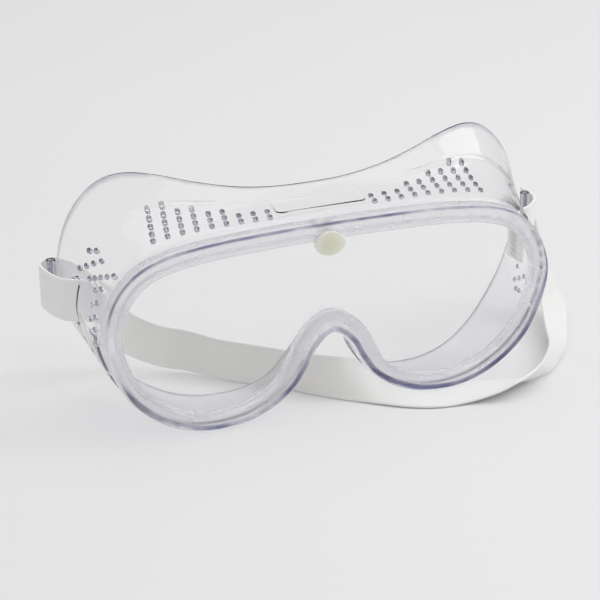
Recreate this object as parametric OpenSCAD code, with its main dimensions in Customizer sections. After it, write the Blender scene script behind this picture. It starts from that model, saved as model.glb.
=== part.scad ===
// Safety goggles, soft clear body with direct vents, rebuilt at real size.
// Frame: the wearer's side is +Y, the lens faces -Y, +X is to the right when the
// lens is looked at, +Z is up. The origin is on the table under the middle of goggles
// and headband; lens and body are drawn round the lens's middle and moved there.

/* [Body] */
// Width of the front rim over its two outer sides
rim_w = 153; // [140:1:165]
// Height of the front rim above its two lobes
rim_h = 67.2; // [60:0.2:74]
// Depth of the moulded rim, front face to the groove behind it
rim_d = 7; // [6.6:0.1:8]
// How far the rim reaches in over the lens
lip_w = 5.9; // [5.2:0.1:6.4]
// Depth of the side walls, rim to the wearer's temples
wall_depth = 37; // [30:1:44]
// Thickness of the soft wall
wall_t = 1.2; // [1:0.1:1.6]
// Outward swell of the wall right behind the rim
wall_bulge = 1.7; // [0.6:0.1:2.4]

/* [Lens] */
// Thickness of the lens sheet
lens_t = 2; // [1.6:0.1:2]
// Gap left round the lens edge in its groove
lens_gap = 0.25; // [0.1:0.05:0.4]

/* [Vents] */
// Diameter of the vent holes
vent_d = 1.8; // [1.2:0.1:2.4]
// Spacing of the vent columns across the brow
vent_pitch_x = 4.75; // [4:0.05:5]
// Spacing of the vent holes from front to back
vent_pitch_y = 2.9; // [2.6:0.1:3.2]

/* [Headband] */
// Width of the elastic band
band_w = 15; // [12:0.5:15]
// Thickness of the elastic band
band_t = 0.9; // [0.7:0.1:1.1]
// Diameter of the round pin in each band loop
pin_d = 3.2; // [2.4:0.1:3.4]
// Length of each pin
pin_l = 16.5; // [14:0.5:18]

/* [Button] */
// Width of the button's oval head on the lens
button_d = 10.8; // [10:0.2:12]
// Height of the button's oval head
button_h = 8.3; // [7.6:0.1:9]
// Diameter of the button's stem
stem_d = 3.8; // [3:0.1:4.4]

/* [Hidden] */
$fn = 48;

rim_front = -4.5;               // Y of the front face
rim_back = rim_front + rim_d;   // Y where the thin wall starts
lens_y = -1.8;                  // Y of the lens front
groove_o = 3.7;                 // depth of the groove floor, in from the outline
lobe_x = 39.5;                  // X of the two lobe bottoms
lobe_lift = 1.2;                // the right lobe stands on the band
tilt = atan(lobe_lift / (2 * lobe_x));
origin_shift = [-8.436, -16.115];  // X and Y from the lens's middle to the whole part's middle
sub = 2;                        // stations between two outline points

// Half outline of the rim, top centre to nose, as parts of half width and height
RIM = [[0, 1], [.157, .999], [.314, .995], [.47, .988], [.614, .973], [.732, .949],
       [.843, .898], [.928, .809], [.983, .687], [1.003, .552], [.975, .396],
       [.915, .246], [.83, .138], [.73, .06], [.621, .013], [.516, 0], [.399, .014],
       [.31, .05], [.238, .097], [.167, .168], [.115, .26], [.073, .35], [0, .417]];
// Matching points of the flange edge: X and Z in mm, Y as part of wall_depth
FLANGE = [[0, 72.4, .473], [12.5, 72.6, .486], [25, 74, .522], [37.5, 76.8, .58],
          [49, 79.9, .657], [59, 81, .74], [67.2, 78.6, .8], [74.2, 72, .84],
          [79.2, 62.5, .865], [81.8, 49.5, .875], [81, 38, .85], [77, 27, .8],
          [70, 17, .72], [61, 8.8, .61], [51, 3.4, .515], [41, 1.3, .445],
          [30.5, 1.5, .4], [21.5, 4, .35], [15.8, 8.8, .285], [12.2, 15.2, .215],
          [9.3, 21.5, .15], [5.6, 27.2, .11], [0, 29.6, .095]];
KH = len(RIM);
KN = 2 * (KH - 1);              // outline points round the whole loop
N = KN * sub;                   // stations round the whole loop

// Closed-loop access to the half tables, mirrored on the left
function half(i) = let (j = (i + 2 * KN) % KN) j < KH ? j : KN - j;
function side(i) = let (j = (i + 2 * KN) % KN) j < KH ? 1 : -1;
function rim_key(i) = [side(i) * RIM[half(i)][0] * rim_w / 2, RIM[half(i)][1] * rim_h];
function fl_key(i) = let (f = FLANGE[half(i)])
    [side(i) * f[0], rim_back + f[2] * wall_depth, f[1]];
function cr(a, b, c, d, t) = 0.5 * (2 * b + (c - a) * t
    + (2 * a - 5 * b + 4 * c - d) * t * t + (3 * b - a - 3 * c + d) * t * t * t);
function rim_at(s) = let (k = floor(s), t = s - k)
    cr(rim_key(k - 1), rim_key(k), rim_key(k + 1), rim_key(k + 2), t);
function fl_at(s) = let (k = floor(s), t = s - k)
    cr(fl_key(k - 1), fl_key(k), fl_key(k + 1), fl_key(k + 2), t);
// Outward normal of the rim outline
function nrm(s) = let (d = rim_at(s + KN + 0.05) - rim_at(s + KN - 0.05), l = norm(d))
    [-d[1] / l, d[0] / l];
function clamp(v, a, b) = min(max(v, a), b);

// A point of the section: o outward from the outline, y deep
function rim_pt(s, o, y) = let (p = rim_at(s), n = nrm(s)) [p[0] + n[0] * o, y, p[1] + n[1] * o];
// Extra lip width over the nose
function nose_lip(s) = let (p = rim_at(s))
    p[1] < rim_h / 2 ? 1.6 * clamp(1.25 - abs(p[0]) / 14, 0, 1) : 0;
// A point of the wall: w 0 at the rim to 1 at the flange edge, t inward
function wall_pt(s, w, t) = let (
    p = rim_at(s), n = nrm(s), f = fl_at(s), g = pow(w, 2.2),
    q = clamp((n[1] + 0.75) / 0.75, 0, 1),
    b = wall_bulge * q * 2.6 * sqrt(w) * (1 - w) - t,
    y = rim_back + (f[1] - rim_back) * w)
    [p[0] + (f[0] - p[0]) * g + n[0] * b, y + 0.35 * t * w, p[1] + (f[2] - p[1]) * g + n[1] * b];

// Moulded section, front outside to back and round again; the wall comes between
FRONT = [[-1.7, rim_front], [-0.5, rim_front + 0.5], [0, rim_front + 1.8],
         [0, rim_back - 1.6], [-0.45, rim_back - 0.7], [-0.55, rim_back]];
WALL_W = [0.06, 0.16, 0.3, 0.45, 0.6, 0.72, 0.82, 0.91, 0.98];
BACK = [[-wall_t - 0.55, rim_back], [-lip_w + 0.6, rim_back - 0.3],
        [-lip_w + 0.6, lens_y + lens_t + 0.1], [-groove_o, lens_y + lens_t + 0.1],
        [-groove_o, lens_y - 0.1], [-lip_w + 0.3, lens_y - 0.1],
        [-lip_w, lens_y - 0.8], [-lip_w, rim_front + 1], [-lip_w + 1, rim_front + 0.2]];
function back_o(i, s) = i < 1 || i == 3 || i == 4 ? BACK[i][0] : BACK[i][0] - nose_lip(s);
function ring(s) = concat(
    [for (p = FRONT) rim_pt(s, p[0], p[1])],
    [for (w = WALL_W) wall_pt(s, w, 0)],
    [wall_pt(s, 1, wall_t / 2)],
    [for (i = [len(WALL_W) - 1:-1:0]) wall_pt(s, WALL_W[i], wall_t)],
    [for (i = [0:len(BACK) - 1]) rim_pt(s, back_o(i, s), BACK[i][1])]);
M = len(ring(0));
function skin_faces() = [for (i = [0:N - 1], j = [0:M - 1]) let (
    a = i * M + j, b = i * M + (j + 1) % M, c = ((i + 1) % N) * M + (j + 1) % M,
    d = ((i + 1) % N) * M + j) each [[a, b, c], [a, c, d]]];

// The goggles lean by a hair: the right lobe stands on the band, the left on the table
module posed() placed() translate([-lobe_x, 0, 0]) rotate([0, -tilt, 0])
    translate([lobe_x, 0, 0]) children();
module placed() translate([origin_shift[0], origin_shift[1], 0]) children();
function pose(p) = [(p[0] + lobe_x) * cos(tilt) - p[2] * sin(tilt) - lobe_x, p[1],
                    (p[0] + lobe_x) * sin(tilt) + p[2] * cos(tilt)];

// Vents: holes in each brow column, centre outward; the columns close in to the back.
// Then the temple rows: [place on the outline, its change per hole, first Y, holes]
BROW_COLS = [2, 2, 2, 3, 3, 4, 4, 5, 5];
brow_x = 17.9;
brow_y = 5.5;
brow_rise = 0.05;
brow_fan = 0.0042;
TEMPLE_ROWS = [[6.88, 0.26, 18.3, 2], [6.86, 0.32, 14, 4], [6.76, 0.21, 5, 5], [7.42, 0.2, 7, 2],
               [7.88, 0.2, 6.2, 2], [8.34, 0.2, 5.3, 2], [8.78, 0.2, 4.9, 2], [9.22, 0.2, 4.8, 2],
               [10, 0, 19.5, 1], [9.9, 0.22, 13, 3], [10.35, 0.09, 12.5, 2], [10.38, 0.1, 5.5, 2]];
temple_pitch = 2.5;
function brow_s(x) = lookup(x, [for (i = [0:9]) [RIM[i][0] * rim_w / 2, i]]);
function depth_w(s, y) = (y - rim_back) / (fl_at(s)[1] - rim_back);
module bore_at(s, y) {
    c = wall_pt(s, depth_w(s, y), wall_t / 2);
    n = nrm(s);
    translate(c) rotate([0, atan2(n[0], n[1]), 0])
        cylinder(d = vent_d, h = 3 * wall_t, center = true, $fn = 24);
}
module vents() {
    for (k = [0:len(BROW_COLS) - 1], j = [0:BROW_COLS[k] - 1]) {
        x = brow_x + k * vent_pitch_x;
        y = j * vent_pitch_y;
        bore_at(brow_s(x * (1 - brow_fan * y)), brow_y + brow_rise * (x - brow_x) + y);
    }
    for (r = TEMPLE_ROWS, j = [0:r[3] - 1]) bore_at(r[0] + j * r[1], r[2] + j * temple_pitch);
}

// Ear slots
slot_y = 22.1;
slot_w = 5;
slot_h = 17;
ear_z = 42;
ear_x = 78.6;
module slot() translate([ear_x, slot_y, ear_z]) rotate([0, 90, 0]) {
    cube([slot_h - slot_w, slot_w, 8], center = true);
    for (k = [-1, 1]) translate([k * (slot_h - slot_w) / 2, 0, 0])
        cylinder(d = slot_w, h = 8, center = true);
}
module both_sides() { children(); mirror([1, 0, 0]) children(); }

// Blank raised panel on the brow
panel_w = 31;
panel_l = 8.2;
module panel() translate([0, 9.7, 69.9]) rotate([11, 0, 0]) mirror([0, 0, 1])
    linear_extrude(1.1) union() {
        square([panel_w - 4, panel_l], center = true);
        square([panel_w, panel_l - 4], center = true);
        for (i = [-1, 1], j = [-1, 1])
            translate([i * (panel_w / 2 - 2), j * (panel_l / 2 - 2)]) circle(2);
    }

// Lens clip, one head and stem with a cap behind the lens
button_x = -1.5;                // the clip sits a little off the middle
button_z = rim_h - 6.4;
boss_d = 6.4;
cap_d = 7.4;
cap_fit = 0.02;
module along_y(y, z) translate([button_x, y, z]) rotate([-90, 0, 0]) children();

module body() {
    color([0.86, 0.86, 0.93, 0.4]) posed() difference() {
        union() {
            polyhedron([for (i = [0:N - 1]) each ring(i / sub)], skin_faces(), convexity = 8);
            panel();
        }
        both_sides() { vents(); slot(); }
        along_y(rim_front - 1, button_z) cylinder(d = boss_d + 0.8, h = lens_y - rim_front + 1);
        along_y(lens_y + lens_t, button_z) cylinder(d = cap_d + 0.8, h = 4);
    }
}

module lens() {
    color([0.9, 0.93, 0.95, 0.3]) posed()
        translate([0, lens_y + lens_t, 0]) rotate([90, 0, 0]) linear_extrude(lens_t) difference() {
            polygon([for (i = [0:N - 1]) let (p = rim_pt(i / sub, -groove_o - lens_gap, 0))
                [p[0], p[2]]]);
            translate([button_x, button_z]) circle(d = stem_d + 0.1);
        }
}

head_t = 1.3;
head_r = (button_d * button_d + button_h * button_h) / (4 * button_h);
// The head is an oval of two arcs
module head() linear_extrude(head_t) intersection() {
    translate([0, head_r - button_h / 2]) circle(head_r, $fn = 96);
    translate([0, button_h / 2 - head_r]) circle(head_r, $fn = 96);
}
module lens_button() {
    color([0.86, 0.86, 0.78, 0.9]) posed() {
        along_y(rim_front - 0.15 - head_t, button_z) head();
        along_y(rim_front - 0.15 - head_t - 0.6, button_z)
            cylinder(d1 = boss_d - 1.2, d2 = boss_d, h = 0.7, $fn = 48);
        along_y(rim_front - 0.2, button_z)
            cylinder(d = boss_d, h = lens_y - rim_front + 0.15);
        along_y(lens_y - 0.1, button_z) cylinder(d = stem_d, h = lens_t + 1.5);
    }
}
module button_cap() {
    color([0.9, 0.9, 0.86, 0.9]) posed() difference() {
        along_y(lens_y + lens_t + 0.05, button_z) cylinder(d = cap_d, h = 2);
        along_y(lens_y, button_z) cylinder(d = stem_d + 2 * cap_fit, h = lens_t + 1.5);
    }
}

// Headband: plan path of each end, from the hem inside the wall, out of the slot and
// round the pin; then its free run, the two edges of the band given point by point
HEM = [[72.3, 19.2], [72.3, 14.5], [72.3, 10.8], [72.85, 9.7], [73.4, 10.9], [73.6, 15.5],
       [74.2, 18.9], [76.3, 21.2], [79.3, 22.8]];
LOOP = [[[82.3, 24.8], [84.6, 29.2], [86, 34.5], [86.2, 39]],
        [[82.8, 25], [86.6, 29.6], [89.2, 34.2], [90.1, 38.4]]];
function ear_path(s) = concat(HEM, LOOP[s > 0 ? 1 : 0]);
// The right loop hangs lower from its slot to its pin
function sag(s, y) = s > 0 ? -0.14 * (max(y, 12) - 21) : 0;
FREE = [
    [-84.6, 41.9, 34, -84.4, 41.9, 49], [-81.2, 42.8, 33.8, -81, 42.8, 48.8],
    [-77, 42.5, 31.9, -76.2, 42.5, 46.8], [-72.8, 42.8, 27.1, -70, 42.8, 41.6],
    [-66.5, 44, 18.5, -62, 45, 32.5], [-58, 46.5, 8.2, -55.5, 48.5, 22.7],
    [-46.7, 43.5, 2.6, -45.9, 45.3, 17.4], [-37, 40.2, 0.7, -36.6, 40.9, 15.6],
    [-28.3, 31.8, 0.1, -28.2, 32.1, 15], [-18.3, 23.8, 0.02, -18.3, 24, 15],
    [-8.4, 15.4, 0.02, -8.4, 15.6, 15], [-1.8, 9, 0.02, -1.6, 9.6, 15],
    [5, 3.2, 0.1, 5.2, 5.8, 14.8], [11, -1.6, 0.3, 11.2, 7.2, 12.3],
    [16.5, -5.7, 0.5, 16.9, 7.5, 7.1], [22.5, -9.6, 0.5, 22.9, 4.9, 4],
    [28.5, -12.4, 0.5, 28.7, 2.5, 1.6], [33.5, -13.9, 0.5, 33.5, 1.1, 0.62],
    [38.5, -14.5, 0.5, 38.6, 0.5, 0.5], [43.5, -14.9, 1, 44.9, 0.1, 0.5],
    [48.5, -15.6, 2, 51.5, -1, 0.5], [54.5, -16.6, 4, 60.9, -3.6, 0.5],
    [61.7, -15.6, 6.2, 71, -5, 0.5], [69.3, -11.6, 7.3, 79, -2.6, 0.5],
    [75.6, -5.2, 7.2, 85.6, 3.9, 0.5], [82.3, 4.9, 7.2, 93, 13.3, 0.5],
    [87.2, 18, 6.8, 99.3, 25, 0.9], [92, 33, 12.5, 104.4, 37.5, 4.6],
    [95.8, 43, 25, 102.2, 43, 11.4], [95.2, 47, 38, 97.4, 47, 23.2],
    [91.8, 47, 46.6, 92.3, 47, 31.6], [88.9, 45.4, 49.2, 88.9, 45.4, 34.2],
    [88.7, 43.3, 49.1, 88.7, 43.3, 34.1], [89.8, 41, 49, 89.8, 41, 34]];
function ear_row(e, s) = let (h = -s * band_w / 2, z = ear_z + sag(s, e[1]))
    concat(pose([s * e[0], e[1], z - h]), pose([s * e[0], e[1], z + h]));
function part3(r, k) = [r[k], r[k + 1], r[k + 2]];
// Both edges of a station, the second one band_w away from the first
function edges(r) = let (a = part3(r, 0), v = part3(r, 3) - a) [a, a + v / norm(v) * band_w];
function back_to_front(v) = [for (i = [len(v) - 1:-1:0]) v[i]];
BAND = [for (r = concat([for (e = ear_path(-1)) ear_row(e, -1)], FREE,
                        [for (e = back_to_front(ear_path(1))) ear_row(e, 1)])) edges(r)];
BN = len(BAND);
bsub = 4;                       // steps between two stations
function band_at(s, e) = let (k = clamp(floor(s), 0, BN - 2))
    cr(BAND[max(k - 1, 0)][e], BAND[k][e], BAND[k + 1][e], BAND[min(k + 2, BN - 1)][e], s - k);
function band_mid(s) = (band_at(s, 0) + band_at(s, 1)) / 2;
function band_ring(s) = let (
    a = band_at(s, 0), b = band_at(s, 1), t = band_mid(s + 0.03) - band_mid(s - 0.03),
    n = cross(t, b - a), m = n / norm(n) * band_t / 2) [a + m, b + m, b - m, a - m];
module headband() {
    last = (BN - 1) * bsub;
    color([0.93, 0.93, 0.91]) placed() polyhedron(
        [for (i = [0:last]) each band_ring(i / bsub)],
        concat([[3, 2, 1, 0]], [[for (j = [0:3]) last * 4 + j]],
               [for (i = [0:last - 1], j = [0:3]) let (a = i * 4 + j, b = i * 4 + (j + 1) % 4)
                   each [[a, b + 4, a + 4], [a, b, b + 4]]]), convexity = 8);
}

// Clear tube pins in the two loops
LEFT_PIN = [-82.5, 38.7];
RIGHT_PIN = [87.4, 38.4];
pin_bore = 1.4;
module pin(p, drop) color([0.85, 0.85, 0.9, 0.6]) posed()
    translate([p[0], p[1], ear_z - pin_l / 2 + drop]) difference() {
        cylinder(d = pin_d, h = pin_l);
        translate([0, 0, -1]) cylinder(d = pin_bore, h = pin_l + 2);
    }
module left_pin() pin(LEFT_PIN, 0);
module right_pin() pin(RIGHT_PIN, sag(1, RIGHT_PIN[1]));

// Zigzag tack that closes each hem
thread_d = 0.45;
tack_y = [12.4, 16.4];
tack_n = 14;
tack_l = 13;
tack_notch = thread_d / 2 * (tack_y[1] - tack_y[0]) / (tack_l / tack_n);
// One side of the zigzag: a blunt tip at every turn it owns, a notch at the others
function tack_side(k, dir) = [for (i = dir > 0 ? [0:tack_n] : [tack_n:-1:0])
    let (z = (i / tack_n - 0.5) * tack_l, h = dir * thread_d / 2, tip = i % 2 == k)
    each tip ? [[tack_y[k], z - h], [tack_y[k], z + h]]
             : i == 0 || i == tack_n ? []
             : [[tack_y[1 - k] + (k > 0 ? 1 : -1) * tack_notch, z]]];
module stitching(s) color([0.96, 0.96, 0.95]) posed()
    translate([s * (HEM[1][0] - band_t / 2 - 0.1) - (s > 0 ? thread_d : 0), 0,
               ear_z + sag(s, (tack_y[0] + tack_y[1]) / 2)])
        rotate([90, 0, 90]) linear_extrude(thread_d)
            polygon(concat(tack_side(0, 1), tack_side(1, -1)));
module left_stitching() stitching(-1);
module right_stitching() stitching(1);

body();
lens();
lens_button();
button_cap();
headband();
left_pin();
right_pin();
left_stitching();
right_stitching();
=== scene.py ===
import math

import bmesh
import bpy
import numpy as np
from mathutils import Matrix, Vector


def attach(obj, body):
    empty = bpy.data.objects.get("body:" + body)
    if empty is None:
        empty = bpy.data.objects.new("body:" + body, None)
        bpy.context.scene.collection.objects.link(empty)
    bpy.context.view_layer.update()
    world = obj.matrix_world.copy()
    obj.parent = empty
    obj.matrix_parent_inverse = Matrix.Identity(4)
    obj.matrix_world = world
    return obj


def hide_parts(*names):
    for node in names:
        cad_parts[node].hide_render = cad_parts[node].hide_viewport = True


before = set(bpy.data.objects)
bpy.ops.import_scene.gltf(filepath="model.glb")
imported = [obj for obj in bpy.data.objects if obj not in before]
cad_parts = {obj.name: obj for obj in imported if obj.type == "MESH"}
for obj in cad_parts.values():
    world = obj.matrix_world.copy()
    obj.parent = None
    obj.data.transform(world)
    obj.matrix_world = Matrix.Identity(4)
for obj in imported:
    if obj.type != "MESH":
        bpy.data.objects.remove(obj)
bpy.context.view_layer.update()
scene = bpy.context.scene
MM = 0.001

# ---------------------------------------------------------------- sizes
# The part's driving dimensions, in millimetres round the lens's middle: X is across, Y goes back
# from the lens's side to the wearer's, Z is up from the table. Metres are the row's own unit.
SHIFT = np.array([-8.436, -16.115, 0.0])    # from the lens's middle to the row's origin
MIDDLE = np.array([-6.61, 0.76, 0.0]) * MM  # the goggles' own middle in the row, in metres
LOBE_X, LOBE_LIFT = 39.5, 1.2               # the right lobe stands on the band
TILT = math.atan(LOBE_LIFT / (2 * LOBE_X))
BACK = (0, 1, 0)                            # the way from the lens to the wearer

RIM_W, RIM_H, RIM_D, LIP_W = 153.0, 67.2, 7.0, 5.9
WALL_DEPTH, WALL_T, BULGE = 37.0, 1.2, 1.7
RIM_FRONT = -4.5
RIM_BACK = RIM_FRONT + RIM_D
SEAM = 0.55                                 # the wall starts this far inside the rim's edge
LENS_Y, LENS_T, LENS_GAP = -1.8, 2.0, 0.25
LENS_BACK = LENS_Y + LENS_T
GROOVE_O = 3.7                              # depth of the groove's floor, in from the outline
SLOT_W, SLOT_H, SLOT_PLACE = 5.0, 17.0, (78.6, 22.1, 42.0)   # ear slot, the right one's middle
PANEL_L, PANEL_W, PANEL_R = 31.0, 8.2, 2.0  # raised field on the brow
PANEL_Y, PANEL_Z, PANEL_SLOPE = 9.7, 69.8, math.radians(11)
VENT_D = 1.8

BUTTON_X, BUTTON_Z = -1.5, RIM_H - 6.4
BOSS_D, CAP_D, CAP_DEPTH, STEM_D = 6.4, 7.4, 2.4, 3.8
HEAD_W, HEAD_H, HEAD_T = 10.8, 8.3, 1.3

BAND_W, BAND_T, EAR_Z = 15.0, 0.9, 42.0
PIN_R, PIN_BORE, PIN_L = 1.6, 0.7, 16.5

# Half outline of the rim, top centre to nose, as parts of half width and height
RIM = np.array([
    [0, 1], [.157, .999], [.314, .995], [.47, .988], [.614, .973], [.732, .949],
    [.843, .898], [.928, .809], [.983, .687], [1.003, .552], [.975, .396],
    [.915, .246], [.83, .138], [.73, .06], [.621, .013], [.516, 0], [.399, .014],
    [.31, .05], [.238, .097], [.167, .168], [.115, .26], [.073, .35], [0, .417]])
# Matching points of the flange's edge: X and Z, and Y as part of the wall's depth
FLANGE = np.array([
    [0, 72.4, .473], [12.5, 72.6, .486], [25, 74, .522], [37.5, 76.8, .58],
    [49, 79.9, .657], [59, 81, .74], [67.2, 78.6, .8], [74.2, 72, .84],
    [79.2, 62.5, .865], [81.8, 49.5, .875], [81, 38, .85], [77, 27, .8],
    [70, 17, .72], [61, 8.8, .61], [51, 3.4, .515], [41, 1.3, .445],
    [30.5, 1.5, .4], [21.5, 4, .35], [15.8, 8.8, .285], [12.2, 15.2, .215],
    [9.3, 21.5, .15], [5.6, 27.2, .11], [0, 29.6, .095]])


def sag(y):
    """How far the right loop hangs below the ear, which grows towards the back."""
    return -0.14 * (max(y, 12) - 21)


def placed(p, lean=True):
    """Millimetres round the lens's middle to metres in the row; lean tips them by TILT."""
    p = np.asarray(p, float).reshape(-1, 3).copy()
    if lean:
        x, z = p[:, 0] + LOBE_X, p[:, 2].copy()
        p[:, 0] = x * math.cos(TILT) - z * math.sin(TILT) - LOBE_X
        p[:, 2] = x * math.sin(TILT) + z * math.cos(TILT)
    return (p + SHIFT) * MM


# ---------------------------------------------------------------- camera
# It stands where the photo's camera stood, as fitted to the rim's outline
YAW, PITCH = math.radians(19.94), math.radians(24.99)
look = Vector((math.sin(YAW) * math.cos(PITCH), math.cos(YAW) * math.cos(PITCH), -math.sin(PITCH)))
DISTANCE, LENS_MM = 722.8, 134.2
target = Vector((-10.75, 0, 40.5)) + Vector(SHIFT)
cam = bpy.data.objects.new("camera", bpy.data.cameras.new("camera"))
scene.collection.objects.link(cam)
scene.camera = cam
cam.location = (target - look * DISTANCE) * MM
cam.rotation_euler = look.to_track_quat("-Z", "Y").to_euler()
cam.data.sensor_width = 36
cam.data.lens = LENS_MM
cam.data.clip_start = 0.01


# ---------------------------------------------------------------- materials
def material(name):
    """A new material with an empty node tree."""
    m = bpy.data.materials.new(name)
    m.use_nodes = True
    m.node_tree.nodes.clear()
    return m


class Nodes:
    """Short helpers for the node tree of a material or a world."""

    def __init__(self, owner):
        self.t = owner.node_tree

    def add(self, kind, **inputs):
        """A new node; each name is one of its inputs, or else one of its properties."""
        n = self.t.nodes.new(kind)
        for k, v in inputs.items():
            k = k.replace("_", " ")
            if k in n.inputs:
                self.set(n.inputs[k], v)
            else:
                setattr(n, k.replace(" ", "_"), v)
        return n

    def set(self, socket, v):
        if isinstance(v, bpy.types.NodeSocket):
            self.t.links.new(v, socket)
        else:
            socket.default_value = v

    def noise(self, coord, scale, detail=3, rough=0.5):
        n = self.add("ShaderNodeTexNoise", Scale=scale, Detail=detail, Roughness=rough)
        self.t.links.new(coord, n.inputs["Vector"])
        return n.outputs["Fac"]

    def ramp(self, fac, stops):
        """Colour by fac, through stops of (position, colour)."""
        n = self.add("ShaderNodeValToRGB")
        e = n.color_ramp.elements
        while len(e) < len(stops):
            e.new(0.5)
        for k, (p, c) in enumerate(stops):
            e[k].position = p
            e[k].color = c if len(c) == 4 else (*c, 1)
        self.t.links.new(fac, n.inputs["Fac"])
        return n.outputs["Color"]

    def span(self, fac, lo, hi):
        """lo where fac is 0, hi where it is 1."""
        n = self.add("ShaderNodeMapRange", To_Min=lo, To_Max=hi)
        self.t.links.new(fac, n.inputs["Value"])
        return n.outputs["Result"]

    def between(self, value, start, end, lo=0.0, hi=1.0):
        """lo where value is start, hi where it is end, held beyond both."""
        n = self.add("ShaderNodeMapRange", From_Min=start, From_Max=end, To_Min=lo, To_Max=hi)
        self.t.links.new(value, n.inputs["Value"])
        return n.outputs["Result"]

    def math(self, op, a, b=0.0):
        n = self.add("ShaderNodeMath", operation=op)
        self.set(n.inputs[0], a)
        self.set(n.inputs[1], b)
        return n.outputs[0]

    def mix(self, fac, a, b, blend="MIX"):
        """Colour a where fac is 0, b blended in where it is 1."""
        n = self.add("ShaderNodeMix", data_type="RGBA", blend_type=blend)
        for socket, v in ((n.inputs[0], fac), (n.inputs[6], a), (n.inputs[7], b)):
            self.set(socket, v)
        return n.outputs[2]

    def mix_shader(self, fac, a, b):
        n = self.add("ShaderNodeMixShader")
        for socket, v in zip(n.inputs, (fac, a.outputs[0], b.outputs[0])):
            self.set(socket, v)
        return n

    def bump(self, height, distance, strength=1.0):
        n = self.add("ShaderNodeBump", Strength=strength, Distance=distance)
        self.t.links.new(height, n.inputs["Height"])
        return n.outputs["Normal"]

    def object_coords(self):
        """Object coordinates, measured from the goggles' own middle."""
        co = self.add("ShaderNodeTexCoord").outputs["Object"]
        v = self.add("ShaderNodeVectorMath", operation="SUBTRACT")
        self.t.links.new(co, v.inputs[0])
        v.inputs[1].default_value = tuple(MIDDLE)
        return v.outputs[0]

    def out(self, shader):
        self.t.links.new(shader.outputs[0], self.add("ShaderNodeOutputMaterial").inputs["Surface"])


def see_through(n, shader, colour, amount):
    """Lets light pass on to the floor and the band, as thin clear plastic does."""
    clear = n.add("ShaderNodeBsdfTransparent", Color=(*colour, 1))
    path = n.add("ShaderNodeLightPath")
    lit = n.math("MAXIMUM", path.outputs["Is Shadow Ray"], path.outputs["Is Diffuse Ray"])
    n.out(n.mix_shader(n.math("MULTIPLY", lit, amount), shader, clear))


ROW_SPAN = 80    # the two ramps of edge_line run over this many rows of the section


def edge_line(n, row, xyz, streak):
    """Mask of the dark violet line along the rim's outer front corner, on the corner's upper side
    at the brow and on its front side low down, and fainter along the flange's hem. The line is
    painted shade: it stands in for the dark edge that refraction shows along these corners."""
    low = n.between(xyz.outputs["Z"], 0.048, 0.030, 0.0, 3.1)
    none, faint, full = ((v, v, v) for v in (0, 0.24, 1))
    line = n.ramp(n.math("MULTIPLY", n.math("ADD", row, low), 1 / ROW_SPAN),
                  [(0.179, none), (0.197, full), (0.209, full), (0.226, none)])
    hem = n.ramp(n.math("MULTIPLY", row, 1 / ROW_SPAN),
                 [(0.66, none), (0.69, faint), (0.742, faint), (0.765, none)])
    patchy = n.between(streak, 0.36, 0.62, 0.18, 1.1)
    # it fades down the left side of the rim
    fade = n.math("MULTIPLY", n.between(xyz.outputs["X"], -0.058, -0.068),
                  n.math("MULTIPLY", n.between(xyz.outputs["Z"], 0.050, 0.042),
                         n.between(xyz.outputs["Z"], 0.012, 0.024)))
    line = n.math("MULTIPLY", line, n.math("SUBTRACT", 1.0, n.math("MULTIPLY", fade, 0.85)))
    return n.math("ADD", n.math("MULTIPLY", line, patchy), n.math("MULTIPLY", hem, patchy))


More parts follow.
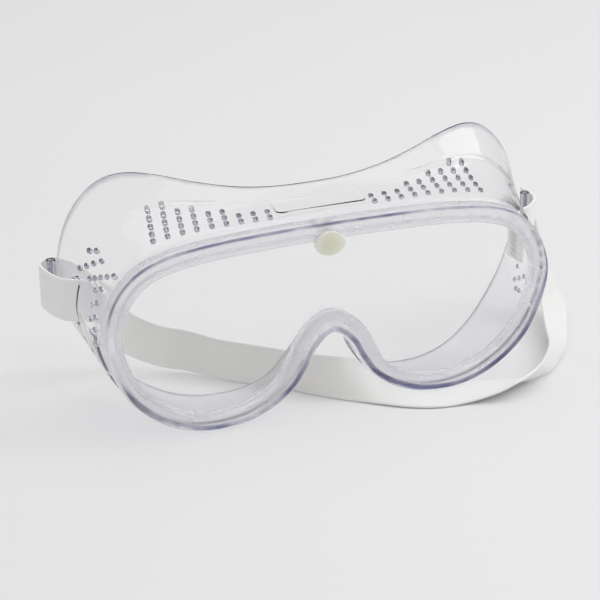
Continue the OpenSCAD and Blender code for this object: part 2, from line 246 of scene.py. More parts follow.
def soft_pvc():
    """Clear soft PVC. UV's V counts the section's rows, so the thick rim is hazy and its outer
    front corner carries a painted dark violet line, which stands in for the dark edge that
    refraction shows there."""
    m = material("soft_pvc")
    n = Nodes(m)
    co = n.object_coords()
    uv = n.add("ShaderNodeSeparateXYZ", Vector=n.add("ShaderNodeTexCoord").outputs["UV"])
    row = uv.outputs["Y"]
    xyz = n.add("ShaderNodeSeparateXYZ", Vector=co)
    rim = n.between(xyz.outputs["Y"], -0.0118, -0.0150)
    haze = n.noise(co, 70, 4)
    # seen at a slant, the rim and the thin wall both darken, the wall more so low down: partly the
    # plastic's own tint over a longer way through, partly painted shade for the dark edges and, low
    # down, for the floor's shadow seen through the wall
    facing = n.add("ShaderNodeLayerWeight", Blend=0.5).outputs["Facing"]
    edge = n.ramp(facing, [(0.55, (0.965, 0.965, 0.975)), (0.82, (0.84, 0.84, 0.885)),
                           (0.97, (0.40, 0.395, 0.53))])
    thin = n.ramp(facing, [(0.30, (0.985, 0.985, 0.992)), (0.58, (0.95, 0.95, 0.968)),
                           (0.80, (0.87, 0.87, 0.90)), (0.97, (0.52, 0.52, 0.59))])
    thin = n.mix(n.between(xyz.outputs["Z"], 0.034, 0.018), thin, (0.95, 0.945, 0.96, 1),
                 "MULTIPLY")
    # painted shade: the dark violet edge line, mixed into the colour here and into the shader below
    line = edge_line(n, row, xyz, n.noise(co, 45, 3, 0.6))
    colour = n.mix(line, n.mix(rim, thin, edge), (0.06, 0.055, 0.20, 1))
    # the mould's flow lines on the wall, and a fine unevenness all over
    flow = n.add("ShaderNodeCombineXYZ", X=n.math("MULTIPLY", uv.outputs["X"], 0.012),
                 Y=n.math("MULTIPLY", row, 0.22))
    flow = n.noise(flow.outputs[0], 1.6, 3, 0.55)
    flow = n.math("MULTIPLY", n.math("MULTIPLY", flow, 1.6), n.math("SUBTRACT", 1.0, rim))
    height = n.math("ADD", flow, n.math("MULTIPLY", n.noise(co, 60, 2), 0.5))
    clear = n.add("ShaderNodeBsdfPrincipled", Base_Color=colour, IOR=1.5,
                  Transmission_Weight=1.0, Normal=n.bump(height, 0.06 * MM),
                  Roughness=n.math("ADD", n.math("MULTIPLY", rim, 0.20),
                                   n.span(haze, 0.035, 0.075)))
    milk = n.add("ShaderNodeBsdfTranslucent", Color=(0.93, 0.93, 0.96, 1))
    front = n.add("ShaderNodeBsdfDiffuse", Color=(0.90, 0.90, 0.94, 1))
    veil = n.math("MULTIPLY", n.math("MULTIPLY", rim, n.span(haze, 0.20, 0.32)),
                  n.math("SUBTRACT", 1.0, line))
    hazy = n.mix_shader(veil, clear, n.mix_shader(0.5, milk, front))
    # painted shade: the dark violet shader of the edge line
    painted_edge_shade = n.add("ShaderNodeBsdfPrincipled", Base_Color=(0.085, 0.08, 0.20, 1), IOR=1.5,
                Roughness=n.span(haze, 0.08, 0.16), Transmission_Weight=0.35)
    lined = n.mix_shader(n.math("MULTIPLY", line, 0.74), hazy, painted_edge_shade)
    see_through(n, lined, (0.955, 0.955, 0.965), 0.98)
    return m


def vent_wall():
    """The bored faces: a little rough, and grey as painted shade inside the vents."""
    m = material("vent_wall")
    n = Nodes(m)
    co = n.object_coords()
    p = n.add("ShaderNodeBsdfPrincipled", IOR=1.5, Transmission_Weight=0.55,
              Base_Color=n.ramp(n.noise(co, 500, 2), [(0.3, (0.40, 0.40, 0.48)),
                                                     (0.7, (0.66, 0.66, 0.73))]),
              Roughness=n.span(n.noise(co, 300, 3), 0.2, 0.4))
    see_through(n, p, (0.9, 0.9, 0.93), 0.9)
    return m


def clear_plastic(name, colour, ior, rough, bump_mm, bump_scale, shadow, speck=0.0):
    """Clear plastic that lets most light through to the floor; speck adds a few dark dots."""
    m = material(name)
    n = Nodes(m)
    co = n.object_coords()
    wave = n.noise(co, bump_scale, 2)
    haze = n.noise(co, 90, 4)
    p = n.add("ShaderNodeBsdfPrincipled", Base_Color=(*colour, 1), IOR=ior,
              Transmission_Weight=1.0, Roughness=n.span(haze, rough * 0.6, rough * 1.4),
              Normal=n.bump(wave, bump_mm * MM))
    if speck:
        dots = n.add("ShaderNodeTexVoronoi", Scale=260)
        n.t.links.new(co, dots.inputs["Vector"])
        near = n.math("LESS_THAN", dots.outputs["Distance"], 0.035)
        keep = n.math("GREATER_THAN", n.noise(co, 31, 1), 1 - speck)
        n.set(p.inputs["Base Color"], n.mix(n.math("MULTIPLY", near, keep), (*colour, 1),
                                            (0.25, 0.25, 0.27, 1)))
    see_through(n, p, colour, shadow)
    return m


def nylon():
    """Milky nylon, yellower where it is thick round the stem."""
    m = material("nylon")
    n = Nodes(m)
    co = n.object_coords()
    cloud = n.noise(co, 160, 3)
    core = n.add("ShaderNodeVectorMath", operation="DISTANCE")
    n.t.links.new(co, core.inputs[0])
    core.inputs[1].default_value = tuple(placed((BUTTON_X, RIM_FRONT - 1.5, BUTTON_Z))[0] - MIDDLE)
    reach = n.math("ADD", core.outputs["Value"], n.span(cloud, -0.0004, 0.0004))
    p = n.add("ShaderNodeBsdfPrincipled", IOR=1.5, Transmission_Weight=0.2,
              Base_Color=n.ramp(n.math("MULTIPLY", reach, 100),
                                [(0.22, (0.85, 0.845, 0.67)), (0.34, (0.885, 0.885, 0.78)),
                                 (0.50, (0.91, 0.915, 0.87))]),
              Roughness=n.span(n.noise(co, 420, 3), 0.28, 0.4),
              Normal=n.bump(n.noise(co, 900, 3), 0.03 * MM))
    p.inputs["Subsurface Weight"].default_value = 0.6
    p.inputs["Subsurface Radius"].default_value = (0.004, 0.004, 0.003)
    see_through(n, p, (0.9, 0.9, 0.85), 0.5)
    return m


RIB, PICK = 0.62, 0.62    # millimetres between the elastic's ribs and between its picks


def elastic():
    """Woven elastic: lengthwise rubber ribs crossed by fine picks. UV is in millimetres."""
    m = material("elastic")
    n = Nodes(m)
    uv = n.add("ShaderNodeSeparateXYZ", Vector=n.add("ShaderNodeTexCoord").outputs["UV"])
    along, across = uv.outputs["X"], uv.outputs["Y"]
    rib = n.math("SINE", n.math("MULTIPLY", across, 2 * math.pi / RIB))
    cell = n.math("FLOOR", n.math("MULTIPLY", across, 1 / RIB))
    slip = n.math("MULTIPLY", n.math("MODULO", cell, 2.0), math.pi)
    pick = n.math("SINE", n.math("ADD", n.math("MULTIPLY", along, 2 * math.pi / PICK), slip))
    co = n.object_coords()
    fuzz = n.noise(co, 2600, 4, 0.65)
    height = n.math("ADD", n.math("MULTIPLY", rib, 0.55), n.math("MULTIPLY", pick, 0.28))
    height = n.math("ADD", height, n.math("MULTIPLY", fuzz, 0.5))
    # the colour follows the ribs, a painted shade that is darker in the hollows between them; the
    # noise adds the yarn's own uneven tone
    shade = n.math("ADD", n.math("MULTIPLY", n.math("ADD", rib, 1.0), 0.16),
                   n.math("MULTIPLY", n.noise(co, 55, 3), 0.5))
    cloth = n.ramp(shade, [(0.1, (0.87, 0.87, 0.855)), (0.6, (0.93, 0.93, 0.92))])
    # painted shade: a little greyer along the run behind the left eye, where the body shades the
    # strap and the plastic in front dims it
    xyz = n.add("ShaderNodeSeparateXYZ", Vector=co)
    painted_shade = n.math("MULTIPLY", n.between(xyz.outputs["X"], -0.076, -0.062),
                  n.between(xyz.outputs["X"], 0.045, -0.005))
    cloth = n.mix(painted_shade, cloth, (0.935, 0.925, 0.905, 1), "MULTIPLY")
    p = n.add("ShaderNodeBsdfPrincipled", Roughness=0.88, Base_Color=cloth,
              Normal=n.bump(height, 0.05 * MM, 0.7))
    p.inputs["Sheen Weight"].default_value = 0.25
    p.inputs["Sheen Roughness"].default_value = 0.5
    p.inputs["Subsurface Weight"].default_value = 0.12
    p.inputs["Subsurface Radius"].default_value = (0.001, 0.001, 0.001)
    n.out(p)
    return m


def thread():
    """White sewing thread with its twist."""
    m = material("thread")
    n = Nodes(m)
    co = n.object_coords()
    twist = n.add("ShaderNodeTexWave", Scale=900, Distortion=2.0)
    n.t.links.new(co, twist.inputs["Vector"])
    # the colour follows the twist's bump, a painted shade that is darker in its grooves
    p = n.add("ShaderNodeBsdfPrincipled", Roughness=0.7,
              Base_Color=n.ramp(twist.outputs["Fac"], [(0.2, (0.78, 0.78, 0.76)),
                                                      (0.7, (0.92, 0.92, 0.90))]),
              Normal=n.bump(twist.outputs["Fac"], 0.06 * MM))
    n.out(p)
    return m


PVC, BORED, NYLON, ELASTIC, THREAD = soft_pvc(), vent_wall(), nylon(), elastic(), thread()
SHEET = clear_plastic("lens_sheet", (0.975, 0.98, 0.98), 1.5, 0.004, 0.002, 25, 0.99, speck=0.42)
# the tube's grey is painted shade, for the shade inside the band's loop round it
TUBE = clear_plastic("tube", (0.70, 0.70, 0.75), 1.48, 0.12, 0.02, 200, 0.8)


# ---------------------------------------------------------------- mesh helpers
def mesh_object(name, points, faces, mat, smooth=35.0):
    me = bpy.data.meshes.new(name)
    me.from_pydata([tuple(p) for p in points], [], faces)
    me.update()
    me.materials.append(mat)
    o = bpy.data.objects.new(name, me)
    scene.collection.objects.link(o)
    soften(o, smooth)
    return o


def soften(o, angle=35.0):
    """Smooth shading, with edges over this many degrees kept sharp."""
    o.data.polygons.foreach_set("use_smooth", [True] * len(o.data.polygons))
    o.data.set_sharp_from_angle(angle=math.radians(angle))


def apply_modifiers(o):
    """Bakes an object's modifiers into its mesh."""
    bpy.context.view_layer.update()
    dg = bpy.context.evaluated_depsgraph_get()
    me = bpy.data.meshes.new_from_object(o.evaluated_get(dg))
    o.modifiers.clear()
    old = o.data
    o.data = me
    bpy.data.meshes.remove(old)


def boolean(o, cutter, how):
    """The cutter's material index carries over to the faces that it leaves."""
    b = o.modifiers.new("b", "BOOLEAN")
    b.operation, b.object, b.solver = how, cutter, "MANIFOLD"
    apply_modifiers(o)
    bpy.data.objects.remove(cutter)


def outward(o, recalculate=True):
    """Turns the faces out; a mesh whose faces already agree needs no recalculating."""
    bm = bmesh.new()
    bm.from_mesh(o.data)
    if recalculate:
        bmesh.ops.recalc_face_normals(bm, faces=bm.faces)
    if bm.calc_volume(signed=True) < 0:
        bmesh.ops.reverse_faces(bm, faces=bm.faces)
    bm.to_mesh(o.data)
    bm.free()


def catmull_rom(a, b, c, d, t):
    return 0.5 * (2 * b + (c - a) * t + (2 * a - 5 * b + 4 * c - d) * t * t
                  + (3 * b - a - 3 * c + d) * t ** 3)


def stack(rings):
    """Points and faces of a closed solid through rings of equal length."""
    m, last = len(rings[0]), len(rings) - 1
    faces = [tuple(range(m))[::-1], tuple(range(last * m, (last + 1) * m))]
    for g in range(last):
        faces += [(g * m + k, g * m + (k + 1) % m, (g + 1) * m + (k + 1) % m, (g + 1) * m + k)
                  for k in range(m)]
    return [p for ring in rings for p in ring], faces


def across(axis):
    """Two directions at right angles to an axis, and the axis itself."""
    z = Vector(axis).normalized()
    x = z.orthogonal().normalized()
    return x, z.cross(x), z


def circle(x, y, sides):
    """Directions all round, from x through y."""
    turns = (2 * math.pi * k / sides for k in range(sides))
    return [x * math.cos(a) + y * math.sin(a) for a in turns]


def rod(c, axis, r, length, sides=24):
    """Points and faces of a closed rod about c."""
    x, y, z = across(axis)
    ring = [v * r for v in circle(x, y, sides)]
    return stack([[Vector(c) + v + z * end * length / 2 for v in ring] for end in (-1, 1)])


def joined(parts):
    """Several (points, faces) as one."""
    pts, faces = [], []
    for p, f in parts:
        base = len(pts)
        pts += [tuple(v) for v in p]
        faces += [tuple(base + k for k in q) for q in f]
    return pts, faces


def cutter(parts, slot_index=0):
    """A solid for one boolean on the body or lens; material slot 1 is that of bored faces."""
    pts, faces = joined(parts)
    o = mesh_object("cut", placed(pts), faces, PVC)
    o.data.materials.append(BORED)
    o.data.polygons.foreach_set("material_index", [slot_index] * len(o.data.polygons))
    o.data.uv_layers.new(name="UVMap")
    outward(o)
    return o


def button_bore(start, end, diameter):
    """A cutter from Y start to Y end through the button's place."""
    return cutter([rod((BUTTON_X, (start + end) / 2, BUTTON_Z), BACK, diameter / 2,
                       end - start, 48)])


# ---------------------------------------------------------------- the soft body
KH = len(RIM)
KN = 2 * (KH - 1)


def loop_keys(table):
    """A half table mirrored to the whole closed loop; the first column changes sign."""
    left = table[1:-1][::-1].copy()
    left[:, 0] *= -1
    return np.vstack([table, left])


RIM_KEYS = loop_keys(RIM * [RIM_W / 2, RIM_H])
FL_KEYS = loop_keys(np.column_stack([FLANGE[:, 0], RIM_BACK + FLANGE[:, 2] * WALL_DEPTH,
                                     FLANGE[:, 1]]))


def spline(keys, s):
    """Points of the closed curve through keys at place s, which counts keys from the brow."""
    s = np.atleast_1d(np.asarray(s, float))
    k = np.floor(s).astype(int)
    t = (s - k)[:, None]
    return catmull_rom(*(keys[(k + j) % KN] for j in (-1, 0, 1, 2)), t)


def rim_normal(s):
    d = spline(RIM_KEYS, np.asarray(s) + 0.05) - spline(RIM_KEYS, np.asarray(s) - 0.05)
    return np.column_stack([-d[:, 1], d[:, 0]]) / np.linalg.norm(d, axis=1)[:, None]


def rim_pt(s, o, y):
    """A point of the rim: o outward from the outline, y deep."""
    p, n = spline(RIM_KEYS, s), rim_normal(s)
    o = np.broadcast_to(o, (len(p),))
    return np.column_stack([p[:, 0] + n[:, 0] * o, np.full(len(p), float(y)),
                            p[:, 1] + n[:, 1] * o])


NOSE_LIP, NOSE_FADE = 1.6, 14


def nose_lip(s):
    """Extra lip width over the nose, which fades out to both sides."""
    p = spline(RIM_KEYS, s)
    fade = np.clip(1.25 - np.abs(p[:, 0]) / NOSE_FADE, 0, 1)
    return np.where(p[:, 1] < RIM_H / 2, NOSE_LIP * fade, 0)


FLARE = 2.2    # the higher, the later the wall leaves the rim's outline for the flange's


def wall_pt(s, w, t):
    """A point of the wall: w 0 at the rim to 1 at the flange's edge, t inward. It swells by
    BULGE a third of the way back, and less where the outline faces down."""
    p, n, f = spline(RIM_KEYS, s), rim_normal(s), spline(FL_KEYS, s)
    w = np.broadcast_to(np.asarray(w, float), (len(p),))
    q = np.clip((n[:, 1] + 0.75) / 0.75, 0, 1)
    b = BULGE * q * 2.6 * np.sqrt(w) * (1 - w) - t
    t = np.broadcast_to(np.asarray(t, float), (len(p),))
    g = w ** FLARE
    y = RIM_BACK + (f[:, 1] - RIM_BACK) * w
    return np.column_stack([p[:, 0] + (f[:, 0] - p[:, 0]) * g + n[:, 0] * b, y + 0.35 * t * w,
                            p[:, 1] + (f[:, 2] - p[:, 1]) * g + n[:, 1] * b])


def rounded(points, steps=5):
    """An open path with its corners rounded; each point is (o, y, radius)."""
    out = [np.array(points[0][:2], float)]
    for a, b, c in zip(points, points[1:], points[2:]):
        p0, p1, p2 = (np.array(q[:2], float) for q in (a, b, c))
        r = b[2]
        u, v = (p0 - p1), (p2 - p1)
        cut = min(r, np.linalg.norm(u) * 0.49, np.linalg.norm(v) * 0.49)
        u, v = u / np.linalg.norm(u) * cut, v / np.linalg.norm(v) * cut
        for k in range(steps + 1):
            t = k / steps
            out.append(p1 + u * (1 - t) ** 2 + v * t ** 2)
    out.append(np.array(points[-1][:2], float))
    return out


FOLD_H, FOLD_W, FOLD_SPREAD = 0.4, 0.68, 0.014
FOLD_IN, FOLD_OUT = 26, 72    # X of its two ends on the rim's outline


def crease(s, w):
    """Height of the low fold in the flange, over each brow; it runs out at both ends."""
    p = spline(RIM_KEYS, s)
    x = np.abs(p[:, 0])
    over = np.clip((x - FOLD_IN) / 12, 0, 1) * np.clip((FOLD_OUT - x) / 8, 0, 1)
    over = over * (p[:, 1] > RIM_H * 0.7)
    return FOLD_H * over * math.exp(-((w - FOLD_W) / FOLD_SPREAD) ** 2)


ROOT = 0.1    # the part of the wall that blends into the rim's back
WALL_STEPS = [0.0, 0.03, 0.07, 0.12, 0.18, 0.24, 0.3, 0.36, 0.42, 0.48, 0.54, 0.6, 0.65, 0.667,
              0.68, 0.693, 0.71, 0.76, 0.84, 0.89, 0.93, 0.96, 0.98]
HEM_STEPS = 6


def wall_row(s, w, t, fold=0.0):
    """One row of the wall, t inside its outer face and raised by fold."""
    row = wall_pt(s, w, t - fold)
    if w < ROOT:
        row = row + (rim_pt(s, -t - SEAM, RIM_BACK) - wall_pt(s, 0, t)) * (1 - w / ROOT)
    return row


def build_body():
    """The moulding's section, swept round the loop: front, wall out, hem, wall back, groove."""
    per_key = 12
    s = np.arange(KN * per_key) / per_key
    lip = nose_lip(s)
    front = rounded([(-LIP_W + 0.1, RIM_FRONT + 0.9, 0), (-LIP_W + 0.55, RIM_FRONT + 0.1, 0.5),
                     (-3.4, RIM_FRONT, 0.8), (-0.05, RIM_FRONT + 0.06, 1.5),
                     (0, RIM_BACK - 1.1, 0.5), (-0.5, RIM_BACK - 0.6, 0.4),
                     (-SEAM, RIM_BACK - 0.1, 0)])
    groove = rounded([(-WALL_T - 0.6, RIM_BACK - 0.02, 0), (-LIP_W + 0.6, RIM_BACK - 0.3, 0.5),
                      (-LIP_W + 0.6, LENS_BACK + 0.1, 0.4), (-GROOVE_O, LENS_BACK + 0.1, 0.15),
                      (-GROOVE_O, LENS_Y - 0.1, 0.15), (-LIP_W + 0.15, LENS_Y - 0.1, 0.3),
                      (-LIP_W, LENS_Y - 0.9, 0.6), (-LIP_W, RIM_FRONT + 1.2, 0)], 3)
    rows = [rim_pt(s, o - (lip if o < -LIP_W + 1 else 0), y) for o, y in front]
    rows += [wall_row(s, w, 0, crease(s, w)) for w in WALL_STEPS]
    for k in range(1, HEM_STEPS):
        turn = math.pi * k / HEM_STEPS
        rows.append(wall_pt(s, 0.98 + 0.02 * math.sin(turn), WALL_T * (0.5 - 0.5 * math.cos(turn))))
    rows += [wall_row(s, w, WALL_T) for w in WALL_STEPS[::-1]]
    rows += [rim_pt(s, o - (lip if o < -GROOVE_O - 0.3 else 0), y) for o, y in groove]
    pts = np.stack(rows, 1)
    n, m = pts.shape[:2]
    faces = []
    for i in range(n):
        j = (i + 1) % n
        for k in range(m):
            q = (k + 1) % m
            faces.append((i * m + k, j * m + k, j * m + q, i * m + q))
    o = mesh_object("soft_body", placed(pts.reshape(-1, 3)), faces, PVC)
    o.data.materials.append(BORED)
    layer = o.data.uv_layers.new(name="UVMap")
    k, i = np.tile(np.arange(m), n), np.repeat(np.arange(n), m)
    u, v = np.stack([i, i + 1, i + 1, i], 1), np.stack([k, k, k + 1, k + 1], 1)
    layer.data.foreach_set("uv", np.stack([u, v], 2).astype(np.float32).ravel())
    return o


# Brow vents: columns of so many vents from the panel outwards, which rise and fan out a little
PITCH_X, PITCH_Y = 4.75, 2.9
BROW_COLS = [2, 2, 2, 3, 3, 4, 4, 5, 5]
BROW_X, BROW_Y, BROW_RISE, BROW_FAN = 17.9, 5.5, 0.05, 0.0042
# Temple vents, a row each: place round the rim, shift per vent, Y of the first, how many
TEMPLE_PITCH = 2.5
TEMPLE_ROWS = [(6.88, 0.26, 18.3, 2), (6.86, 0.32, 14, 4), (6.76, 0.21, 5, 5), (7.42, 0.2, 7, 2),
               (7.88, 0.2, 6.2, 2), (8.34, 0.2, 5.3, 2), (8.78, 0.2, 4.9, 2), (9.22, 0.2, 4.8, 2),
               (10, 0, 19.5, 1), (9.9, 0.22, 13, 3), (10.35, 0.09, 12.5, 2), (10.38, 0.1, 5.5, 2)]


def vent_places():
    """Place round the rim and Y of each vent on the right half."""
    xs = RIM[:10, 0] * RIM_W / 2
    for k, count in enumerate(BROW_COLS):
        x = BROW_X + k * PITCH_X
        for j in range(count):
            y = j * PITCH_Y
            yield (np.interp(x * (1 - BROW_FAN * y), xs, range(10)),
                   BROW_Y + BROW_RISE * (x - BROW_X) + y)
    for s0, step, y0, count in TEMPLE_ROWS:
        for j in range(count):
            yield s0 + j * step, y0 + j * TEMPLE_PITCH


def vents():
    """Rods square to the wall through every vent's place, on both sides."""
    rods = []
    for s, y in vent_places():
        w = (y - RIM_BACK) / (spline(FL_KEYS, s)[0, 1] - RIM_BACK)
        c, n = wall_pt([s], w, WALL_T / 2)[0], rim_normal([s])[0]
        for side in (1, -1):
            rods.append(rod((c[0] * side, c[1], c[2]), (n[0] * side, 0, n[1]), VENT_D / 2,
                            3 * WALL_T))
    return joined(rods)


def corners(w, h, r, steps, inset=0.0):
    """A w by h rectangle with rounded corners, anticlockwise."""
    for cx, cy, start in ((1, 1, 0), (-1, 1, 90), (-1, -1, 180), (1, -1, 270)):
        for j in range(steps + 1):
            a = math.radians(start + 90 * j / steps)
            yield ((w / 2 - r) * cx + math.cos(a) * (r - inset),
                   (h / 2 - r) * cy + math.sin(a) * (r - inset))


def slot(side, depth=8.0, steps=16):
    """The stadium-shaped ear slot's cutter."""
    x, y, z = SLOT_PLACE
    ring = []
    for top, sign in ((0, 1), (1, -1)):
        for j in range(steps + 1):
            a = math.pi * (j / steps + top)
            ring.append((y + math.cos(a) * SLOT_W / 2,
                         z + math.sin(a) * SLOT_W / 2 + sign * (SLOT_H - SLOT_W) / 2))
    return stack([[(side * x + dx, *p) for p in ring] for dx in (-depth / 2, depth / 2)])


# Rings from the panel's buried foot to its top: how far in from its outline, and how high. The
# last one holds the flat top's shading apart from the rounded edge's.
PANEL_RINGS = ((-0.6, -1.1), (-0.35, -0.6), (0.05, -0.2), (0.46, 0), (0.66, 0))


def panel():
    """Blank raised panel on the brow, with rounded corners and edges."""
    c, s = math.cos(PANEL_SLOPE), math.sin(PANEL_SLOPE)
    return stack([[(x, PANEL_Y + y * c - up * s, PANEL_Z + y * s + up * c)
                   for x, y in corners(PANEL_L, PANEL_W, PANEL_R, 8, inset)]
                  for inset, up in PANEL_RINGS])


body = build_body()
outward(body)
boolean(body, cutter([panel()]), "UNION")
boolean(body, cutter([vents()], 1), "DIFFERENCE")
boolean(body, cutter([slot(1), slot(-1)]), "DIFFERENCE")
boolean(body, button_bore(RIM_FRONT - 1, LENS_Y, BOSS_D + 0.1), "DIFFERENCE")
boolean(body, button_bore(LENS_BACK, LENS_BACK + CAP_DEPTH, CAP_D + 0.2), "DIFFERENCE")
soften(body, 38)
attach(body, "goggles")
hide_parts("body")


# ---------------------------------------------------------------- lens
def build_lens():
    """The flat sheet with softened edges and the button's hole."""
    per_key, soft = 10, 0.12
    s = np.arange(KN * per_key) / per_key
    pts, faces = stack([rim_pt(s, -GROOVE_O - LENS_GAP - o, y)
                        for o, y in ((soft, LENS_Y), (0, LENS_Y + soft), (0, LENS_BACK - soft),
                                     (soft, LENS_BACK))])
    o = mesh_object("clear_lens", placed(pts), faces, SHEET)
    outward(o)
    boolean(o, button_bore(-4, 4, STEM_D + 0.1), "DIFFERENCE")
    soften(o, 30)
    return o


lens = build_lens()
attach(lens, "goggles")
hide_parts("lens")


# ---------------------------------------------------------------- button, cap, pins
def lathe(name, profile, centre, axis, mat, sides=72, closed=False, shape=lambda r, way: r):
    """Turns (radius, height) about an axis through centre; shape bends the outer rings."""
    x, y, z = across(axis)
    ways = circle(x, y, sides)
    pts, faces, index = [], [], []
    for r, h in profile:
        if r < 1e-6:
            index.append([len(pts)] * sides)
            pts.append(tuple(Vector(centre) + z * h))
        else:
            index.append(list(range(len(pts), len(pts) + sides)))
            pts += [tuple(Vector(centre) + z * h + w * shape(r, w)) for w in ways]
    pairs = list(zip(index, index[1:])) + ([(index[-1], index[0])] if closed else [])
    for a, b in pairs:
        for k in range(sides):
            q = [a[k], a[(k + 1) % sides], b[(k + 1) % sides], b[k]]
            q = [v for i, v in enumerate(q) if v not in q[:i]]
            if len(q) > 2:
                faces.append(tuple(q))
    o = mesh_object(name, placed(pts), faces, mat)
    outward(o)
    soften(o, 40)
    return o


def arc(cx, cy, r, a0, a1, steps=5):
    """Profile points round (cx, cy) from angle a0 to a1 in degrees."""
    turns = (math.radians(a0 + (a1 - a0) * k / steps) for k in range(steps + 1))
    return [(cx + r * math.cos(a), cy + r * math.sin(a)) for a in turns]


HEAD_R, CORE_R = HEAD_W / 2, 3.3
ARC_R = (HEAD_W ** 2 + HEAD_H ** 2) / (4 * HEAD_H)
ARC_C = ARC_R - HEAD_H / 2


def oval(r, way):
    """The head's rings go from round at CORE_R to an oval of two arcs at its edge."""
    up = abs(way.z)
    edge = math.sqrt(ARC_C ** 2 * up * up - ARC_C ** 2 + ARC_R ** 2) - ARC_C * up
    t = min(max((r - CORE_R) / (HEAD_R - CORE_R), 0), 1)
    return r + (edge - HEAD_R) * t


head_y = RIM_FRONT - 0.15           # back of the head
button_profile = (
    [(0, HEAD_T + 0.57), (1.2, HEAD_T + 0.54), (2.0, HEAD_T + 0.42), (2.7, HEAD_T + 0.2),
     (CORE_R, HEAD_T + 0.02), (4.3, HEAD_T - 0.12)] + arc(HEAD_R - 0.5, HEAD_T - 0.65, 0.5, 70, -20)
    + [(HEAD_R - 0.3, 0.05), (HEAD_R - 0.5, 0), (BOSS_D / 2, 0), (BOSS_D / 2, -2.8),
       (STEM_D / 2, -2.82), (STEM_D / 2, -5.95), (STEM_D / 2 - 0.3, -6.25), (0, -6.25)])
button = lathe("button_head", button_profile, (BUTTON_X, head_y, BUTTON_Z), (0, -1, 0), NYLON,
               96, shape=oval)
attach(button, "button")
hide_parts("lens_button")

cap = lathe("button_back", [(STEM_D / 2 + 0.02, 0), (CAP_D / 2 - 0.2, 0), (CAP_D / 2, 0.2)]
            + arc(CAP_D / 2 - 0.6, 1.4, 0.6, 0, 90) + [(STEM_D / 2 + 0.2, 2.0),
                                                       (STEM_D / 2 + 0.02, 1.85)],
            (BUTTON_X, LENS_BACK + 0.05, BUTTON_Z), BACK, NYLON, closed=True)
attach(cap, "goggles")
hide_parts("button_cap")

half = PIN_L / 2
for name, x, y, z, rides in (("left", -82.5, 38.7, EAR_Z, "left_loop_pin"),
                             ("right", 87.4, 38.4, EAR_Z + sag(38.4), "right_loop_pin")):
    prof = [(PIN_BORE, -half + 0.12), (PIN_BORE + 0.12, -half), (PIN_R - 0.15, -half),
            (PIN_R, -half + 0.15), (PIN_R, half - 0.15), (PIN_R - 0.15, half),
            (PIN_BORE + 0.12, half), (PIN_BORE, half - 0.12)]
    o = lathe(name + "_tube", prof, (x, y, z), (0, 0, 1), TUBE, 40, closed=True)
    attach(o, rides)
    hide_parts(name + "_pin")


# ---------------------------------------------------------------- headband
# Middle line of each end, from the hem on the wearer's side through the slot: X outwards and Y
HEM = [(72.3, 19.2), (72.3, 14.5), (72.3, 10.8), (72.85, 9.7), (73.4, 10.9), (73.6, 15.5),
       (74.2, 18.9), (76.3, 21.2), (79.3, 22.8)]
LOOPS = {-1: [(82.3, 24.8), (84.6, 29.2), (86, 34.5), (86.2, 39)],
         1: [(82.8, 25), (86.6, 29.6), (89.2, 34.2), (90.1, 38.4)]}
# Lower and upper edge of the free run, left loop to right loop
FREE = [
    (-84.6, 41.9, 34, -84.4, 41.9, 49), (-81.2, 42.8, 33.8, -81, 42.8, 48.8),
    (-77, 42.5, 31.9, -76.2, 42.5, 46.8), (-72.8, 42.8, 27.1, -70, 42.8, 41.6),
    (-66.5, 44, 18.5, -62, 45, 32.5), (-58, 46.5, 8.2, -55.5, 48.5, 22.7),
    (-46.7, 43.5, 2.6, -45.9, 45.3, 17.4), (-37, 40.2, 0.7, -36.6, 40.9, 15.6),
    (-28.3, 31.8, 0.1, -28.2, 32.1, 15), (-18.3, 23.8, 0.02, -18.3, 24, 15),
    (-8.4, 15.4, 0.02, -8.4, 15.6, 15), (-1.8, 9, 0.02, -1.6, 9.6, 15),
    (5, 3.2, 0.1, 5.2, 5.8, 14.8), (11, -1.6, 0.3, 11.2, 7.2, 12.3),
    (16.5, -5.7, 0.5, 16.9, 7.5, 7.1), (22.5, -9.6, 0.5, 22.9, 4.9, 4),
    (28.5, -12.4, 0.5, 28.7, 2.5, 1.6), (33.5, -13.9, 0.5, 33.5, 1.1, 0.62),
    (38.5, -14.5, 0.5, 38.6, 0.5, 0.5), (43.5, -14.9, 1, 44.9, 0.1, 0.5),
    (48.5, -15.6, 2, 51.5, -1, 0.5), (54.5, -16.6, 4, 60.9, -3.6, 0.5),
    (61.7, -15.6, 6.2, 71, -5, 0.5), (69.3, -11.6, 7.3, 79, -2.6, 0.5),
    (75.6, -5.2, 7.2, 85.6, 3.9, 0.5), (82.3, 4.9, 7.2, 93, 13.3, 0.5),
    (87.2, 18, 6.8, 99.3, 25, 0.9), (92, 33, 12.5, 104.4, 37.5, 4.6),
    (95.8, 43, 25, 102.2, 43, 11.4), (95.2, 47, 38, 97.4, 47, 23.2),
    (91.8, 47, 46.6, 92.3, 47, 31.6), (88.9, 45.4, 49.2, 88.9, 45.4, 34.2),
    (88.7, 43.3, 49.1, 88.7, 43.3, 34.1), (89.8, 41, 49, 89.8, 41, 34)]


def band_edges():
    """Both edges of the whole strip, left hem to right hem, BAND_W apart."""
    rows = []

    def ear(side, x, y):
        z = EAR_Z + (sag(y) if side > 0 else 0)
        h = -side * BAND_W / 2
        ends = placed([(side * x, y, z - h), (side * x, y, z + h)]) / MM - SHIFT
        rows.append((ends[0], ends[1]))

    for x, y in HEM + LOOPS[-1]:
        ear(-1, x, y)
    rows += [(np.array(r[:3], float), np.array(r[3:], float)) for r in FREE]
    for x, y in (HEM + LOOPS[1])[::-1]:
        ear(1, x, y)
    a = np.array([r[0] for r in rows])
    v = np.array([r[1] for r in rows]) - a
    return a, a + v / np.linalg.norm(v, axis=1)[:, None] * BAND_W


